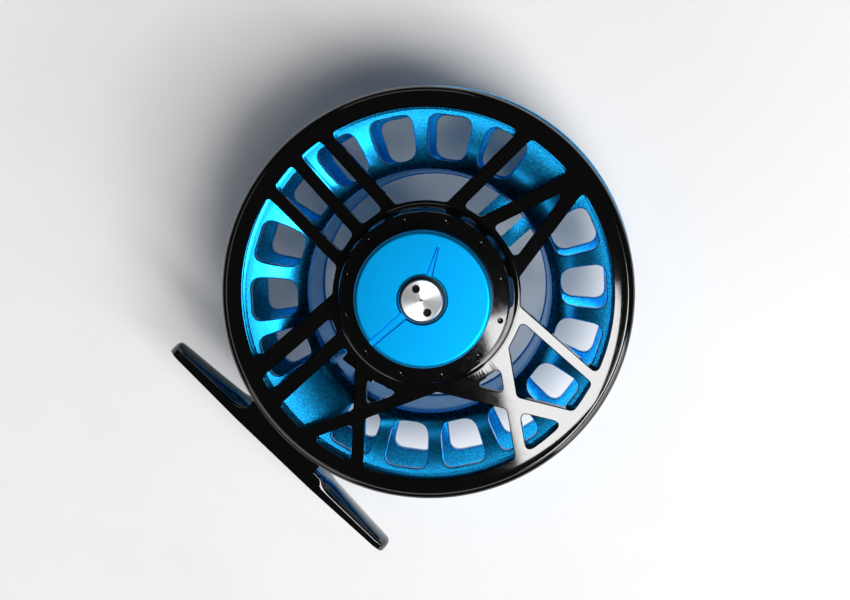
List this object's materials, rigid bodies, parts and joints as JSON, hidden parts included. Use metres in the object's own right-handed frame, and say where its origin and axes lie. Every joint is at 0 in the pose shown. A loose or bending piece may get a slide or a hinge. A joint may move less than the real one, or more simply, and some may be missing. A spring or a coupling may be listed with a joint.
{
  "type": "fly reel",
  "caption": "Large-arbor fly reel with an open ribbed half frame, disc drag knob in the hub, ported spool, crank handle and reel foot.",
  "frame": {"origin": "middle of the reel foot's flat seat face, where it lies on the rod's reel seat", "axes": "+Z along the spool axis towards the drag knob, +Y from the foot to the spool axis, +X along the foot"},
  "size_m": [0.0962, 0.1024, 0.0677],
  "materials": {
    "black_anodised": "satin black anodised",
    "blue_anodised": "satin blue anodised",
    "bright_cap": "turned, concentric brushing",
    "steel": "machined",
    "brass": "machined",
    "carbon_disc": "matt woven carbon friction disc",
    "seal_rubber": "matt",
    "handle_black": "satin black anodised"
  },
  "bodies": {
    "frame": {"back_frame": "black_anodised", "reel_foot": "black_anodised", "foot_screw_left": "steel", "foot_screw_right": "steel", "spindle": "steel", "spindle_nut": "steel", "knob_cap": "bright_cap", "knob_cap_washer": "seal_rubber", "detent_spring": "steel", "friction_disc_1": "carbon_disc", "friction_disc_2": "carbon_disc", "reaction_plate": "steel", "friction_disc_3": "carbon_disc", "friction_disc_4": "carbon_disc", "drag_cover": "black_anodised", "cover_seal": "seal_rubber", "pawl_pin": "steel", "pawl_spring": "steel"},
    "knob": {"drag_knob": "blue_anodised"},
    "thrust": {"thrust_spider": "steel", "spring_washer_upper": "steel"},
    "pressure": {"pressure_plate": "steel", "spring_washer_lower": "steel"},
    "detent": {"detent_ball": "steel"},
    "rotor": {"drag_rotor": "steel", "rotor_plate": "steel", "roller_clutch": "steel", "rotor_bearing": "steel"},
    "pawl": {"click_pawl": "brass"},
    "spool": {"spool": "blue_anodised", "click_gear": "brass", "spool_bearing_rear": "steel", "spool_bearing_front": "steel", "hub_cap": "black_anodised", "release_spring": "steel", "handle_post": "steel", "handle_washer": "steel", "handle_screw": "steel", "counterweight": "bright_cap", "counterweight_screw": "steel"},
    "handle": {"handle_knob": "handle_black"},
    "release": {"release_button": "bright_cap"}
  },
  "joints": [
    {"name": "spool_spin", "type": "hinge", "parent": "frame", "child": "spool", "pos_m": [0, 0.0542, -0.0018], "axis": [0, 0, 1], "continuous": true},
    {"name": "rotor_spin", "type": "hinge", "parent": "frame", "child": "rotor", "pos_m": [0, 0.0542, 0.0102], "axis": [0, 0, 1], "continuous": true},
    {"name": "handle_spin", "type": "hinge", "parent": "spool", "child": "handle", "pos_m": [0.00251, 0.09011, -0.0238], "axis": [0, 0, 1], "continuous": true},
    {"name": "drag_knob_turn", "type": "hinge", "parent": "frame", "child": "knob", "pos_m": [0, 0.0542, 0.0292], "axis": [0, 0, -1], "range_deg": [0, 300]},
    {"name": "thrust_slide", "type": "slide", "parent": "frame", "child": "thrust", "axis": [0, 0, -1], "range_m": [0, 0.0006], "deforming": ["spring_washer_upper"]},
    {"name": "pressure_slide", "type": "slide", "parent": "frame", "child": "pressure", "axis": [0, 0, -1], "range_m": [0, 0.0002], "deforming": ["spring_washer_lower"]},
    {"name": "detent_slide", "type": "slide", "parent": "frame", "child": "detent", "axis": [0, 0, -1], "range_m": [0, 0.0004], "stiffness_N_per_m": 200, "deforming": ["detent_spring"]},
    {"name": "pawl_pivot", "type": "hinge", "parent": "frame", "child": "pawl", "pos_m": [0.00152, 0.03245, 0.0042], "axis": [0, 0, 1], "range_deg": [-10, 10], "stiffness_Nm_per_rad": 0.02},
    {"name": "release_press", "type": "slide", "parent": "spool", "child": "release", "axis": [0, 0, 1], "range_m": [0, 0.0011], "stiffness_N_per_m": 800, "deforming": ["release_spring"]}
  ],
  "couplings": [
    {"joint": "rotor_spin", "follows": "spool_spin", "ratio": 1},
    {"joint": "thrust_slide", "follows": "drag_knob_turn", "m_per_rad": 0.00011459},
    {"joint": "pressure_slide", "follows": "drag_knob_turn", "m_per_rad": 0.000038196}
  ]
}
